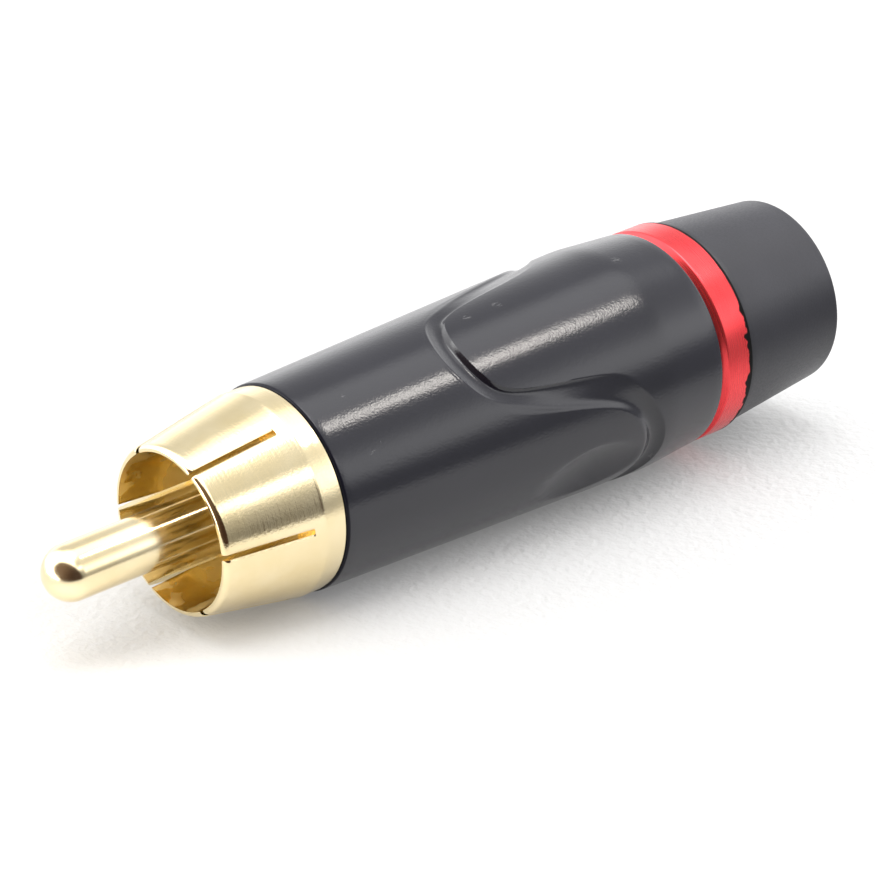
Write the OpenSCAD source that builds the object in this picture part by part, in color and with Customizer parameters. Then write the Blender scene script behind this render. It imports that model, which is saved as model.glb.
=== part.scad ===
// Phono plug with a screw-on grip sleeve, a coloured ring and a rear cap that closes a cord clamp.
// It stands on its cord end: +Z runs along the plug, from the cord towards the tip of the pin.
// Millimetres throughout. Distances named "back" are measured from the sleeve's front face.

/* [Centre pin] */
// diameter of the signal pin
pin_d = 3.175; // [2.8:0.005:3.6]
// how far the pin reaches past the rim of the ground shell
pin_reach = 8.15; // [6:0.05:10]
// diameter of the thinner shank that passes through the insulator
shank_d = 2.2; // [1.4:0.1:2.6]
// diameter of the swaged collar behind the insulator
collar_d = 4.2; // [3.2:0.1:5]
// thickness of the swaged collar
collar_len = 0.6; // [0.4:0.05:1.2]
// outer diameter of the solder cup
cup_d = 2.8; // [2:0.1:3.4]
// bore of the solder cup
cup_bore = 2; // [1.2:0.1:2.4]
// length of the solder cup behind the collar
cup_len = 4.6; // [3:0.1:7]

/* [Ground shell] */
// diameter of the flange that the sleeve closes against
flange_d = 11.8; // [11:0.05:13]
// width of the straight band on the flange
flange_len = 1.35; // [0.8:0.05:2.5]
// width of the small bevel at both edges of the band
flange_bevel = 0.05; // [0.03:0.01:0.3]
// diameter at the wide end of the tapered petals
taper_d = 11.76; // [10.6:0.02:12.5]
// diameter that the taper would reach at the rim
rim_d = 9.7; // [9.3:0.05:11]
// length from the flange's rear face to the rim
shell_len = 7.4; // [6:0.05:10]
// bore of the cup, which grips the jack
shell_bore = 8.4; // [8:0.05:9]
// radial width of the lead-in at the mouth
lead_in = 0.34; // [0.05:0.01:0.4]
// length of the gentle lead-in along the cup
lead_len = 2.4; // [0.3:0.05:4]
// width of the flat lip left at the rim
lip_w = 0.08; // [0.04:0.01:0.3]
// length of the rounded nose outside the rim
rim_nose = 0.46; // [0.1:0.02:1]
// depth from the rim to the insulator's face
socket_depth = 8.2; // [6.5:0.05:10]
// number of slots between the petals
slot_count = 6; // [3:1:8]
// width of a slot
slot_w = 0.32; // [0.2:0.02:0.8]
// length of a slot from the rim
slot_len = 5.4; // [3:0.1:6.5]
// outer diameter of the screw boss behind the flange
boss_d = 9.9; // [9.4:0.05:10.6]
// length of the screw boss
boss_len = 4.5; // [3:0.1:6]
// diameter of the spigot that the ground tag is staked on
stake_d = 7.6; // [7:0.1:8]
// length of that spigot behind the boss
stake_len = 0.8; // [0.6:0.05:1.5]

/* [Insulator] */
// diameter of the insulator's body
ins_d = 6.2; // [5:0.1:6.6]
// thickness of its head at the bottom of the cup
ins_head = 1; // [0.6:0.1:2]
// how far the body stands out behind the stake
ins_tail = 0.5; // [0.2:0.05:1.5]

/* [Ground tag] */
// sheet thickness of the tag
tag_t = 0.5; // [0.3:0.05:0.8]
// outer diameter of its ring
tag_ring_d = 9.3; // [8.6:0.05:9.4]
// width of its arm
tag_w = 2.6; // [1.6:0.1:3.4]
// length from the boss to the end of the crimp ears
tag_len = 14.5; // [10:0.1:16]
// length of the crimp ears along the cord
ear_len = 3.2; // [2:0.1:5]
// angle that the crimp ears wrap round the cord
ear_angle = 200; // [140:5:260]
// diameter of the solder hole in the arm
tag_hole_d = 1.3; // [0.8:0.1:1.6]

/* [Grip sleeve] */
// length of the sleeve's outside
sleeve_len = 27.3; // [26:0.1:36]
// diameter at the front face
sleeve_front_d = 12; // [11.6:0.05:13]
// diameter at the rear end of the grip pads
sleeve_pad_d = 13.5; // [12.6:0.05:14.5]
// diameter at the rear face
sleeve_rear_d = 12.9; // [12.4:0.05:14]
// width of the bevel at the front and rear edges
sleeve_bevel = 0.18; // [0.05:0.01:0.4]
// length of the rounded crest at the rear end of the pads
crest_len = 1.2; // [0.4:0.1:2]
// bore of the hollow that takes the solder joints
hollow_d = 9.6; // [9:0.1:9.8]
// thickness of the web that the cord clamp stops against
web_len = 1.5; // [0.8:0.1:3]

/* [Grip groove] */
// number of grip pads round the sleeve
pad_count = 2; // [2:1:4]
// direction of the middle of the first pad, in degrees from +X
pad_angle = -60; // [-180:1:180]
// distance back to the groove's front edge, ahead of a pad
groove_front = 9.2; // [8:0.1:12]
// distance back to the groove's front edge, at the rear of a tongue
groove_rear = 21.3; // [18:0.1:22]
// width of the groove ahead of a pad and behind a tongue
groove_w = 1.6; // [0.8:0.05:2]
// depth of the groove ahead of a pad and behind a tongue
groove_depth = 0.28; // [0.1:0.02:0.6]
// depth of the groove along the sides of a pad
flank_depth = 0.17; // [0.05:0.01:0.6]
// distance from the groove to the crest of the pads
pad_land = 0.3; // [0.1:0.05:1]
// sharpness of the turn of the tongue's edge
tongue_turn = 3.5; // [1:0.1:6]
// sharpness of the turn of the pad's edge
pad_turn = 5.7; // [1:0.1:8]
// extra width of the tongues at their edge
tongue_bias = -0.12; // [-0.4:0.01:0.4]
// extra width of the tongues and the groove at the pad's edge
pad_bias = 0.38; // [0.1:0.01:0.6]
// share of a plain wave in both edges, which slants the sides
wave_share = 0.4; // [0:0.05:1]
// length of the scoop in each tongue
scoop_len = 7.4; // [4:0.1:10]
// width of the scoop
scoop_w = 3.8; // [2:0.1:5]
// depth of the scoop
scoop_depth = 0.42; // [0.05:0.01:0.6]

/* [Colour ring] */
// length of the ring
ring_len = 2.3; // [1.5:0.05:4]
// diameter of the ring
ring_d = 12.86; // [12.4:0.02:14]
// width of the bevel at its front edge
ring_bevel = 0.42; // [0.1:0.02:0.8]
// width of the small bevel at its rear edge
ring_edge = 0.08; // [0.02:0.01:0.2]

/* [Rear cap] */
// length of the cap
cap_len = 7.8; // [7:0.1:12]
// diameter at the front of the cap
cap_front_d = 12.5; // [12:0.05:14]
// diameter at the cord end
cap_rear_d = 11.1; // [10:0.05:12.5]
// width of the small bevel at the front edge
cap_edge = 0.1; // [0.02:0.01:0.3]
// rounding of the edge at the cord end
cap_round = 0.35; // [0.1:0.05:0.8]
// thickness of the wall round the cord hole
cap_floor = 1.6; // [1:0.1:2.5]
// diameter of the cord hole
cord_d = 6; // [4:0.1:6.6]

/* [Screw threads] */
// outer diameter of the sleeve's rear spigot, which carries the ring and the cap
spigot_d = 9.9; // [9.4:0.05:10.4]
// length of thread between the spigot and the cap
cap_thread = 3.75; // [2:0.05:4]
// free depth past the end of each thread
thread_relief = 0.3; // [0.1:0.05:1]

/* [Cord clamp] */
// length of the clamp
clamp_len = 9.5; // [7:0.1:12]
// outer diameter of the clamp
clamp_d = 8; // [7.4:0.05:8.4]
// diameter at the end of its tapered nose
nose_d = 7; // [6.6:0.05:7.6]
// width of the slots between its jaws
jaw_gap = 0.7; // [0.3:0.05:1.2]
// number of jaws
jaw_count = 4; // [2:1:6]
// length of the slots between the jaws
jaw_len = 6.6; // [4:0.1:8]
// number of teeth rings inside the jaws
tooth_count = 4; // [2:1:6]
// depth of the teeth rings
tooth_depth = 0.22; // [0.1:0.02:0.4]

/* [Clearances] */
// radial clearance in the screw threads
thread_gap = 0.05; // [0.02:0.01:0.1]
// gap between faces that close on each other
face_gap = 0.05; // [0.02:0.01:0.1]
// radial clearance between pieces that are fixed to each other
fixed_gap = 0.02; // [0.01:0.01:0.05]
// clearance round the cord clamp
clamp_gap = 0.06; // [0.02:0.01:0.1]
// clearance of the cord inside the clamp
cord_gap = 0.06; // [0.02:0.01:0.3]

/* [Hidden] */
$fn = 96;
big = 60;
eps = 0.01;

// heights along the plug, from the cord end up
z_ring = cap_len + face_gap;
z_sleeve = z_ring + ring_len + face_gap;
z_front = z_sleeve + sleeve_len;
z_flange = z_front + face_gap;
z_rim = z_flange + shell_len;
z_tip = z_rim + pin_reach;
z_face = z_rim - socket_depth;
z_bed = z_face - ins_head;
z_boss = z_flange - boss_len;
z_stake = z_boss - stake_len;
z_tail = z_stake - ins_tail;
z_spigot = cap_len - cap_thread;
z_cap_bore = z_spigot - thread_relief;
z_nose = cap_floor + face_gap;
z_stop = z_nose + clamp_len + face_gap;
z_hollow = z_stop + web_len;
z_screw = z_boss - thread_relief;

// radii shared by pieces that fit each other
r_screw = boss_d / 2 + thread_gap;
r_cap_bore = spigot_d / 2 + thread_gap;
r_clamp_bore = clamp_d / 2 + clamp_gap;
r_cord = cord_d / 2;
r_jaw = r_cord + cord_gap;
r_tag = stake_d / 2 + fixed_gap;

// outline of the grip sleeve
pad_end = groove_rear + groove_w + pad_land;
tongue_angle = pad_angle + 180 / pad_count;
scoop_mid = groove_rear - scoop_len / 2;
mean_r = (sleeve_front_d + sleeve_pad_d) / 4;
cols = 120;
front_rows = 11;
groove_rows = 8;
pad_rows = 3;
neck_rows = 5;

// hyperbolic tangent, which bends a wave into straight sides and round turns
function bend(x) = (exp(2 * x) - 1) / (exp(2 * x) + 1);

// wave round the sleeve: 0 at the middle of a pad, 1 at the middle of a tongue
function swing(a) = cos(pad_count * (a - pad_angle));
function bent(c, turn, bias) = bend(turn * (bias - c));
function wave(a, turn, bias) =
    wave_share * (1 - swing(a)) / 2 + (1 - wave_share) * (bent(swing(a), turn, bias) - bent(1, turn, bias))
        / (bent(-1, turn, bias) - bent(1, turn, bias));

// distance back to the tongue's edge and to the pad's edge of the groove
function tongue_wave(a) = wave(a, tongue_turn, tongue_bias);
function pad_wave(a) = wave(a, pad_turn, pad_bias);
function tongue_edge(a) = groove_front + (groove_rear - groove_front) * tongue_wave(a);
function pad_edge(a) = groove_front + groove_w + (groove_rear - groove_front) * pad_wave(a);

// angle from the nearest of n evenly spaced directions
function turn_from(a, start, n) = (a - start) - 360 / n * round((a - start) * n / 360);

// radius of the sleeve without its groove: two cones that meet in a rounded crest
front_slope = (sleeve_pad_d - sleeve_front_d) / 2 / pad_end;
rear_slope = (sleeve_pad_d - sleeve_rear_d) / 2 / (sleeve_len - pad_end);
crest_fall = (front_slope + rear_slope) / 2 / crest_len;
function plain_r(t) =
    sleeve_pad_d / 2 - (t < pad_end ? front_slope * (pad_end - t) : rear_slope * (t - pad_end))
    - (abs(t - pad_end) < crest_len / 2 ? crest_fall * pow(crest_len / 2 - abs(t - pad_end), 2) : 0);

// depth cut by the groove, x being the place across it: 0 at the tongue's edge, 1 at the pad's edge
function groove_end(a) = pow(tongue_wave(a) + pad_wave(a) - 1, 4);
function groove_deep(a) = flank_depth + (groove_depth - flank_depth) * groove_end(a);
function groove_low(a) = 0.5 + 0.3 * pow(max(0, 1 - tongue_wave(a) - pad_wave(a)), 2);
function groove_cut(a, x) =
    groove_deep(a) * (x < groove_low(a) ? pow(sin(90 * x / groove_low(a)), 2) :
        1 - pow((x - groove_low(a)) / (1 - groove_low(a)), 2));

// depth cut by the scoop in a tongue
function scoop_q(a, t) =
    pow(turn_from(a, tongue_angle, pad_count) * PI / 180 * mean_r * 2 / scoop_w, 2)
    + pow(abs(t - scoop_mid) * 2 / scoop_len, 1.7);
function scoop_cut(a, t) = scoop_depth * max(0, 1 - scoop_q(a, t));

// distance back of row j at angle a, in runs that follow the groove
function ease(x) = 1 - pow(1 - x, 1.5);
rows_a = 1 + front_rows;
rows_b = rows_a + groove_rows;
rows_c = rows_b + pad_rows;
rows_d = rows_c + neck_rows;
last_row = rows_d + 1;
function row_back(j, a) =
    j == 0 ? 0 :
    j <= rows_a ? sleeve_bevel + (tongue_edge(a) - sleeve_bevel) * ease((j - 1) / front_rows) :
    j <= rows_b ? tongue_edge(a) + (pad_edge(a) - tongue_edge(a)) * (j - rows_a) / groove_rows :
    j <= rows_c ? pad_edge(a) + (pad_end - pad_edge(a)) * (j - rows_b) / pad_rows :
    j < rows_d ? pad_end + crest_len / 2 * (j - rows_c) / (neck_rows - 1) :
    j == rows_d ? sleeve_len - sleeve_bevel :
    sleeve_len;

// radius of the sleeve at row j and angle a
function row_r(j, a, t) =
    plain_r(t) - (j == 0 || j == last_row ? sleeve_bevel : 0)
    - (j > rows_a && j < rows_b ? groove_cut(a, (j - rows_a) / groove_rows) : 0)
    - (j <= rows_a ? scoop_cut(a, t) : 0);

function skin_point(j, a) =
    let (t = row_back(j, a), r = row_r(j, a, t))
    [r * cos(a), r * sin(a), z_front - t];

// outer form of the grip sleeve, as rows of points that follow the groove round
module sleeve_skin() {
    points = [for (j = [0:last_row]) for (i = [0:cols - 1]) skin_point(j, 360 * i / cols)];
    upper = [for (j = [0:last_row - 1]) for (i = [0:cols - 1])
        [j * cols + i, j * cols + (i + 1) % cols, (j + 1) * cols + (i + 1) % cols]];
    lower = [for (j = [0:last_row - 1]) for (i = [0:cols - 1])
        [j * cols + i, (j + 1) * cols + (i + 1) % cols, (j + 1) * cols + i]];
    front_face = [for (i = [cols - 1:-1:0]) i];
    rear_face = [for (i = [0:cols - 1]) last_row * cols + i];
    polyhedron(points = points, faces = concat([front_face, rear_face], upper, lower), convexity = 4);
}

// a round hole or bar between two heights
module bar(r, low, high) {
    translate([0, 0, low])
        cylinder(r = r, h = high - low);
}

// gold cup with spring petals, flange, screw boss and the spigot for the tag
module ground_shell() {
    z_band = z_flange + flange_len;
    r_mouth = shell_bore / 2 + lead_in;
    r_lip = r_mouth + lip_w;
    r_nose = rim_d / 2 + (taper_d - rim_d) / 2 * rim_nose / (z_rim - z_band);
    rim_steps = 4;
    color([0.86, 0.69, 0.36])
    difference() {
        rotate_extrude()
            polygon(concat([
                [ins_d / 2 + fixed_gap, z_stake],
                [stake_d / 2, z_stake],
                [stake_d / 2, z_boss],
                [boss_d / 2 - thread_relief, z_boss],
                [boss_d / 2, z_boss + thread_relief],
                [boss_d / 2, z_flange],
                [flange_d / 2 - flange_bevel, z_flange],
                [flange_d / 2, z_flange + flange_bevel],
                [flange_d / 2, z_band - flange_bevel],
                [taper_d / 2, z_band]
            ], [for (k = [0:rim_steps])
                [r_lip + (r_nose - r_lip) * cos(90 * k / rim_steps),
                 z_rim - rim_nose * (1 - sin(90 * k / rim_steps))]
            ], [
                [r_mouth, z_rim],
                [shell_bore / 2, z_rim - lead_len],
                [shell_bore / 2, z_bed],
                [ins_d / 2 + fixed_gap, z_bed]
            ]));
        for (i = [0:slot_count - 1])
            rotate([0, 0, 360 * i / slot_count])
                translate([shell_bore / 4, -slot_w / 2, z_rim - slot_len])
                    cube([big, slot_w, slot_len + 1]);
    }
}

// gold signal pin with a domed tip, a shank through the insulator and a cut-away solder cup
module centre_pin() {
    z_collar = z_tail - collar_len;
    z_cup = z_collar - cup_len;
    color([0.9, 0.74, 0.42])
    difference() {
        union() {
            bar(pin_d / 2, z_face + fixed_gap, z_tip - pin_d / 2);
            translate([0, 0, z_tip - pin_d / 2])
                sphere(r = pin_d / 2);
            bar(shank_d / 2, z_collar, z_face + pin_d / 2);
            bar(collar_d / 2, z_collar, z_tail - fixed_gap);
            bar(cup_d / 2, z_cup, z_collar + collar_len / 2);
        }
        bar(cup_bore / 2, z_cup - eps, z_collar - cup_bore / 4);
        translate([-big / 2, cup_d / 8, z_cup - eps])
            cube([big, big, cup_len * 0.6]);
    }
}

// stepped plastic bush between the pin and the ground shell
module insulator() {
    color([0.86, 0.83, 0.75])
    difference() {
        union() {
            bar(shell_bore / 2 - fixed_gap, z_bed + fixed_gap, z_face);
            bar(ins_d / 2, z_tail, z_face - ins_head / 2);
        }
        bar(shank_d / 2 + fixed_gap, z_tail - eps, z_face + eps);
    }
}

// solder tag staked behind the boss, with an arm, a solder hole and crimp ears
module ground_tag() {
    z_top = z_boss - fixed_gap;
    z_end = z_boss - tag_len;
    color([0.8, 0.76, 0.62])
    difference() {
        union() {
            bar(tag_ring_d / 2, z_top - tag_t, z_top);
            translate([0, 0, z_end])
                rotate([0, 0, -ear_angle / 2])
                    rotate_extrude(angle = ear_angle)
                        translate([r_tag, 0])
                            square([tag_t, ear_len]);
            translate([r_tag, -tag_w / 2, z_end])
                cube([tag_t, tag_w, z_top - z_end]);
        }
        bar(r_tag, z_end - eps, z_top + eps);
        translate([0, 0, (z_top + z_end + ear_len) / 2])
            rotate([0, 90, 0])
                cylinder(r = tag_hole_d / 2, h = big);
    }
}

// black sleeve with the winding finger groove, bored from both ends round a web
module grip_sleeve() {
    color([0.05, 0.05, 0.055])
    difference() {
        union() {
            sleeve_skin();
            bar(spigot_d / 2, z_spigot, z_sleeve + web_len);
        }
        bar(r_screw, z_screw, z_front + eps);
        bar(hollow_d / 2, z_hollow, z_screw + eps);
        bar(r_jaw + clamp_gap, z_stop - eps, z_hollow + eps);
        bar(r_clamp_bore, z_spigot - eps, z_stop);
    }
}

// red ring trapped between the sleeve and the cap
module colour_ring() {
    color([0.8, 0.05, 0.08])
    rotate_extrude()
        polygon([
            [r_cap_bore, z_ring],
            [ring_d / 2 - ring_edge, z_ring],
            [ring_d / 2, z_ring + ring_edge],
            [ring_d / 2, z_ring + ring_len - ring_bevel],
            [ring_d / 2 - ring_bevel, z_ring + ring_len],
            [r_cap_bore, z_ring + ring_len]
        ]);
}

// tapered cap with a screw bore, a seat for the clamp's nose and the cord hole
module rear_cap() {
    r_seat_wide = clamp_d / 2 + clamp_gap;
    r_seat_narrow = nose_d / 2 + clamp_gap;
    round_steps = 4;
    color([0.06, 0.06, 0.065])
    rotate_extrude()
        polygon(concat(
            [for (k = [0:round_steps])
                [cap_rear_d / 2 - cap_round * (1 - sin(90 * k / round_steps)),
                 cap_round * (1 - cos(90 * k / round_steps))]],
            [
                [cap_front_d / 2, cap_len - cap_edge],
                [cap_front_d / 2 - cap_edge, cap_len],
                [r_cap_bore, cap_len],
                [r_cap_bore, z_cap_bore],
                [r_seat_wide, z_cap_bore],
                [r_seat_narrow, cap_floor],
                [r_cord, cap_floor],
                [r_cord, 0]
            ]
        ));
}

// slotted plastic collar whose jaws the cap closes on the cord
module cable_clamp() {
    tooth_pitch = jaw_len / 2 / tooth_count;
    color([0.12, 0.12, 0.13])
    difference() {
        rotate_extrude()
            polygon(concat(
                [
                    [nose_d / 2, z_nose],
                    [clamp_d / 2, z_cap_bore + face_gap],
                    [clamp_d / 2, z_nose + clamp_len],
                    [r_jaw, z_nose + clamp_len]
                ],
                [for (k = [tooth_count - 1:-1:0]) for (side = [1, 0])
                    [r_jaw + (side == 1 ? 0 : tooth_depth),
                     z_nose + tooth_pitch * (k + 0.5 + side * 0.6)]],
                [[r_jaw, z_nose]]
            ));
        for (i = [0:jaw_count - 1])
            rotate([0, 0, 360 * (i + 0.5) / jaw_count])
                translate([0, -jaw_gap / 2, z_nose - eps])
                    cube([big, jaw_gap, jaw_len]);
    }
}

ground_shell();
centre_pin();
insulator();
ground_tag();
grip_sleeve();
colour_ring();
rear_cap();
cable_clamp();
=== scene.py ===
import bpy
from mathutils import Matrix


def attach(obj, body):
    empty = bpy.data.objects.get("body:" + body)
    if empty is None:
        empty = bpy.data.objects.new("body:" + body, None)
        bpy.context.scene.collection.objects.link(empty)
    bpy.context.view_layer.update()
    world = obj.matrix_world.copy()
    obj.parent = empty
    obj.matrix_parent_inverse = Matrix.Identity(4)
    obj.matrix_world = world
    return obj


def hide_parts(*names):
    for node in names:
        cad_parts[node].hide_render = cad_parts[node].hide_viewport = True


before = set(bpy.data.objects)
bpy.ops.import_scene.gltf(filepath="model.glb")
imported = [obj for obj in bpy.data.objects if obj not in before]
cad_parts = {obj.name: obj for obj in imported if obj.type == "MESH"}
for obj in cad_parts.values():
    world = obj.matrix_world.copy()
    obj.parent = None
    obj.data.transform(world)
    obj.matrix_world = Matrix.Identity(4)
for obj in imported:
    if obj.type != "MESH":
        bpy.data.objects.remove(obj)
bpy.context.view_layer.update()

import math

import bpy
import numpy as np
from mathutils import Matrix, Vector

# metres in a millimetre
MM = 0.001

# Sizes of the solids, in millimetres

# pin and solder cup
PIN_R = 1.5875
PIN_REACH = 8.15
SHANK_R = 1.1
COLLAR_R = 2.1
COLLAR_LEN = 0.6
CUP_R = 1.4
CUP_BORE_R = 1.0
CUP_LEN = 4.6

# ground shell
FLANGE_R = 5.9
FLANGE_LEN = 1.35
FLANGE_BEVEL = 0.05
TAPER_R = 5.88
RIM_R = 4.85
SHELL_LEN = 7.4
BORE_R = 4.2
LEAD_IN = 0.34
LEAD_LEN = 2.4
LIP_W = 0.08
RIM_NOSE = 0.46
SOCKET_DEPTH = 8.2
SLOT_COUNT = 6
SLOT_W = 0.32
SLOT_LEN = 5.4
BOSS_R = 4.95
BOSS_LEN = 4.5
STAKE_R = 3.8
STAKE_LEN = 0.8

# insulator
INS_R = 3.1
INS_HEAD = 1.0
INS_TAIL = 0.5

# sleeve
SLEEVE_LEN = 27.3
FRONT_R = 6.0
PAD_R = 6.75
REAR_R = 6.45
SLEEVE_BEVEL = 0.18
CREST_LEN = 1.2
HOLLOW_R = 4.8
WEB_LEN = 1.5
SPIGOT_R = 4.95

# grip of the sleeve, with places measured back from its front
PAD_COUNT = 2
PAD_ANGLE = -60.0
PAD_LAND = 0.3
GROOVE_FRONT = 9.2
GROOVE_REAR = 21.3
GROOVE_W = 1.6
GROOVE_DEPTH = 0.28
FLANK_DEPTH = 0.17
TONGUE_TURN = 3.5
TONGUE_BIAS = -0.12
PAD_TURN = 5.7
PAD_BIAS = 0.38
WAVE_SHARE = 0.4
SCOOP_LEN = 7.4
SCOOP_W = 3.8
PAD_END = GROOVE_REAR + GROOVE_W + PAD_LAND
TONGUE_ANGLE = PAD_ANGLE + 180 / PAD_COUNT
SCOOP_MID = GROOVE_REAR - SCOOP_LEN / 2
MEAN_R = (FRONT_R + PAD_R) / 2

# ring, cap and clamp
RING_LEN = 2.3
RING_R = 6.43
RING_BEVEL = 0.42
RING_EDGE = 0.08
CAP_LEN = 7.8
CAP_FRONT_R = 6.25
CAP_REAR_R = 5.55
CAP_EDGE = 0.1
CAP_ROUND = 0.35
CAP_FLOOR = 1.6
CAP_THREAD = 3.75
CORD_R = 3.0
CLAMP_LEN = 9.5
CLAMP_R = 4.0
CLAMP_NOSE_R = 3.5

# clearances
THREAD_RELIEF = 0.3
THREAD_GAP = 0.05
FACE_GAP = 0.05
FIXED_GAP = 0.02
CLAMP_GAP = 0.06
CORD_GAP = 0.06
SCREW_R = BOSS_R + THREAD_GAP
CAP_BORE_R = SPIGOT_R + THREAD_GAP
CLAMP_BORE_R = CLAMP_R + CLAMP_GAP
WEB_BORE_R = CORD_R + CORD_GAP + CLAMP_GAP

# heights above the end of the cap
Z_RING = CAP_LEN + FACE_GAP
Z_RING_TOP = Z_RING + RING_LEN
Z_SLEEVE = Z_RING_TOP + FACE_GAP
Z_FRONT = Z_SLEEVE + SLEEVE_LEN
Z_FLANGE = Z_FRONT + FACE_GAP
Z_BAND = Z_FLANGE + FLANGE_LEN
Z_RIM = Z_FLANGE + SHELL_LEN
Z_SLOT = Z_RIM - SLOT_LEN
Z_TIP = Z_RIM + PIN_REACH
Z_FACE = Z_RIM - SOCKET_DEPTH
Z_BED = Z_FACE - INS_HEAD
Z_BOSS = Z_FLANGE - BOSS_LEN
Z_STAKE = Z_BOSS - STAKE_LEN
Z_TAIL = Z_STAKE - INS_TAIL
Z_COLLAR = Z_TAIL - COLLAR_LEN
Z_SPIGOT = CAP_LEN - CAP_THREAD
Z_CAP_BORE = Z_SPIGOT - THREAD_RELIEF
Z_STOP = CAP_FLOOR + FACE_GAP + CLAMP_LEN + FACE_GAP
Z_HOLLOW = Z_STOP + WEB_LEN
Z_SCREW = Z_BOSS - THREAD_RELIEF

# Sizes of the scene alone, in millimetres
PITCH = 0.75
THREAD_DEPTH = 0.3
THREAD_FADE = 0.35
# bevels along the edges of the slots: width, depth on the outside, depth in the bore
SLOT_BEVEL_W = 0.1
SLOT_BEVEL_OUT = 0.055
SLOT_BEVEL_IN = 0.03
# the scoops are 0.08 deeper than in the solids, to read as clearly as in the photograph
SCOOP_DEPTH = 0.5
# length over which a scoop comes up to the groove
SCOOP_RIM = 0.45
# height of the fine crease beside the groove's shoulder
CREASE = 0.022
# the fine facets of the sleeve stay this far inside the coarser ones of its solid
FACET_GAP = 0.0026

# Points along and round the meshes
PETAL_COLS = 40
PETAL_ROWS = 30
PIN_COLS = 128
CUP_COLS = 49
SLEEVE_COLS = 480
CORE_COLS = 160
RING_COLS = 320
CAP_COLS = 288
FRONT_ROWS = 40
GROOVE_ROWS = 40
PAD_ROWS = 18
CREST_ROWS = 6
NECK_ROWS = 6
BEVEL_ROWS = 5
BOSS_ROWS = 62
SPIGOT_ROWS = 84
SCREW_ROWS = 64
CAP_ROWS = 56


# Mesh helpers

def build(name, verts, faces, body, material, stands_for=None, sharp=32):
    """A mesh piece from points in millimetres, shaded smooth except at edges sharper than an angle."""
    faces = [[int(v) for v in f] for f in faces]
    used = sorted({v for f in faces for v in f})
    order = {v: k for k, v in enumerate(used)}
    points = np.asarray(verts, float)[used] * MM
    mesh = bpy.data.meshes.new(name)
    mesh.from_pydata(points.tolist(), [], [[order[v] for v in f] for f in faces])
    mesh.validate()
    mesh.polygons.foreach_set("use_smooth", [True] * len(mesh.polygons))
    mesh.set_sharp_from_angle(angle=math.radians(sharp))
    mesh.materials.append(material)
    obj = bpy.data.objects.new(name, mesh)
    bpy.context.scene.collection.objects.link(obj)
    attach(obj, body)
    if stands_for:
        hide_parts(stands_for)
    return obj


def grid_points(radius, angle, height):
    return np.stack([radius * np.cos(angle), radius * np.sin(angle), height], -1).reshape(-1, 3)


def grid_faces(rows, cols, start=0, closed=False):
    """Faces of a tube of rows by cols points, which looks outward when the rows run down the outside."""
    j = np.arange(rows if closed else rows - 1)[:, None]
    i = np.arange(cols)[None, :]
    below = (j + 1) % rows
    beside = (i + 1) % cols
    corners = (j * cols + i, below * cols + i, below * cols + beside, j * cols + beside)
    return np.stack(np.broadcast_arrays(*corners), -1).reshape(-1, 4) + start


def arc(centre_r, centre_z, rad, start, end, count):
    """Points of a rounded corner in the r-z plane, between two angles in degrees."""
    angles = np.radians(np.linspace(start, end, count))
    return [(centre_r + rad * math.cos(a), centre_z + rad * math.sin(a)) for a in angles]


def line(p, q, count):
    """Points of a straight run in the r-z plane, without its start."""
    return [(p[0] + (q[0] - p[0]) * k / count, p[1] + (q[1] - p[1]) * k / count) for k in range(1, count + 1)]


def turned(outline, cols):
    """Radius, angle and height of the points of an outline turned round the axis."""
    p = np.array(outline, float)
    angle = np.linspace(0, 2 * np.pi, cols, endpoint=False)[None, :].repeat(len(p), 0)
    return p[:, :1].repeat(cols, 1), angle, p[:, 1:].repeat(cols, 1)


def thread(radius, angle, height, wall, low, high, sense):
    """Radius with a right-hand thread cut into the points on a wall: sense is -1 on a rod, 1 in a bore."""
    phase = np.mod(height / PITCH - angle / (2 * np.pi), 1.0)
    # a flat crest and root with sloping flanks between
    flank = np.clip(np.abs(2 * phase - 1) * 1.5 - 0.3, 0, 1)
    fade = np.clip((height - low) / THREAD_FADE, 0, 1) * np.clip((high - height) / THREAD_FADE, 0, 1)
    on_wall = np.abs(radius - wall) < 1e-6
    return np.where(on_wall, radius + sense * THREAD_DEPTH * flank * fade, radius)


# Node helpers

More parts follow.
